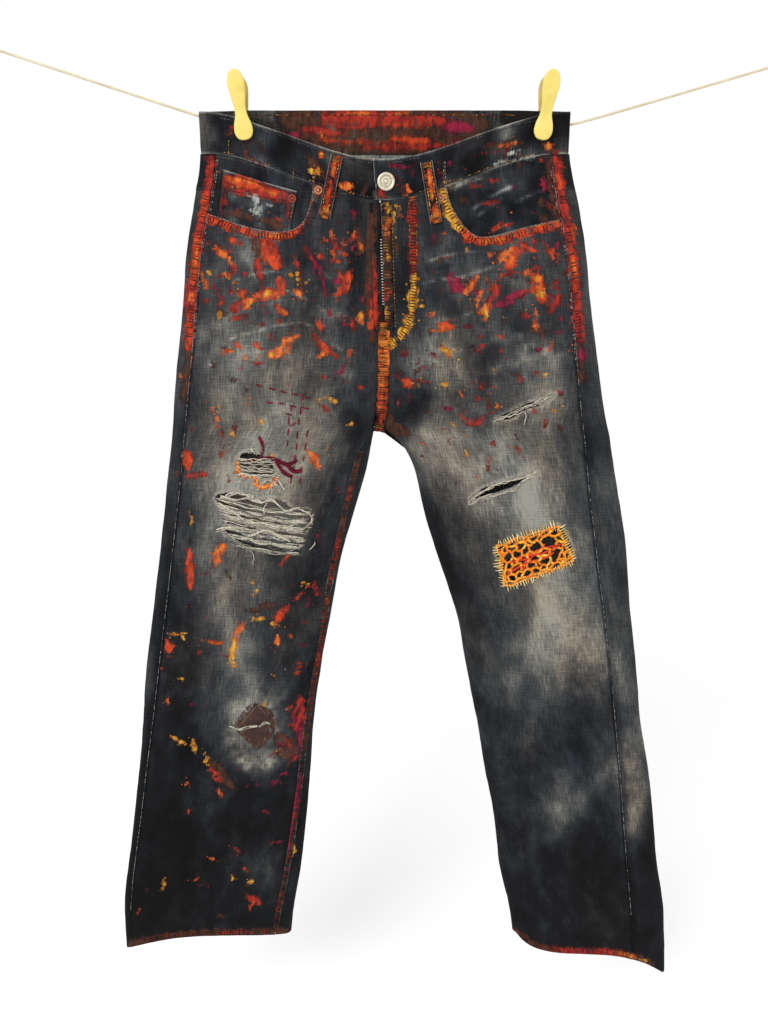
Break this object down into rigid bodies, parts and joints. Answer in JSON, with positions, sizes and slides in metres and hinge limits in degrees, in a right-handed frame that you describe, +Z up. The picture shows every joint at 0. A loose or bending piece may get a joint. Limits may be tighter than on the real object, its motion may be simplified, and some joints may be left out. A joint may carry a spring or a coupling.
{
  "type": "paint-spattered jeans hung from a clothesline by two pegs",
  "caption": "Worn, ripped and mended five-pocket denim jeans, spattered with paint, pegged by the waistband to a taut clothesline between wall eyes.",
  "frame": {"origin": "on the clothesline's centreline, midway between the wall eyes, just behind the waistband", "axes": "+Z up along the hanging legs, -Y out of the front of the jeans, +X towards the wearer's left"},
  "size_m": [0.877, 0.0753, 1.1431],
  "materials": {
    "denim": "dark blue-black denim with faded thighs, paint and fraying",
    "denim_back": "dark blue-black denim, faded on the seat and calves",
    "denim_inside": "pale grey inner side of the denim",
    "band": "doubled denim with a worn top edge and red paint inside the back",
    "shin_patch": "brown cloth, frayed",
    "mend_thread": "orange and yellow mending thread",
    "zip_tape": "black woven tape",
    "zip": "aged brass",
    "button": "worn nickel with turned rings",
    "rivet": "worn copper",
    "peg": "pale yellow moulded plastic",
    "line": "cream twisted cord",
    "eye": "bright plated steel"
  },
  "bodies": {
    "root": {"front_panel_right": "denim", "front_panel_left": "denim", "back_panel_right": "denim_back", "back_panel_left": "denim_back", "yoke_right": "denim_back", "yoke_left": "denim_back", "waistband": "band", "pocket_facing_right": "denim", "pocket_facing_left": "denim", "coin_pocket": "denim", "fly_shield": "denim", "zip_tape": "zip_tape", "zip_slider": "zip", "belt_loop_front_right": "denim", "belt_loop_front_left": "denim", "belt_loop_back_right": "denim", "belt_loop_back_left": "denim", "belt_loop_back_middle": "denim", "back_pocket_right": "denim_back", "back_pocket_left": "denim_back", "hem_right": "denim_inside", "hem_left": "denim_inside", "shin_patch": "shin_patch", "knee_mend": "mend_thread", "button": "button", "rivet_pocket_right": "rivet", "rivet_pocket_left": "rivet", "rivet_pocket_end_left": "rivet", "rivet_coin_pocket": "rivet", "peg_right_front": "peg", "peg_right_back": "peg", "peg_right_pivot": "peg", "peg_left_front": "peg", "peg_left_back": "peg", "peg_left_pivot": "peg", "clothesline": "line", "line_loop_right": "line", "line_loop_left": "line", "wall_eye_right": "eye", "wall_eye_left": "eye"}
  },
  "joints": []
}
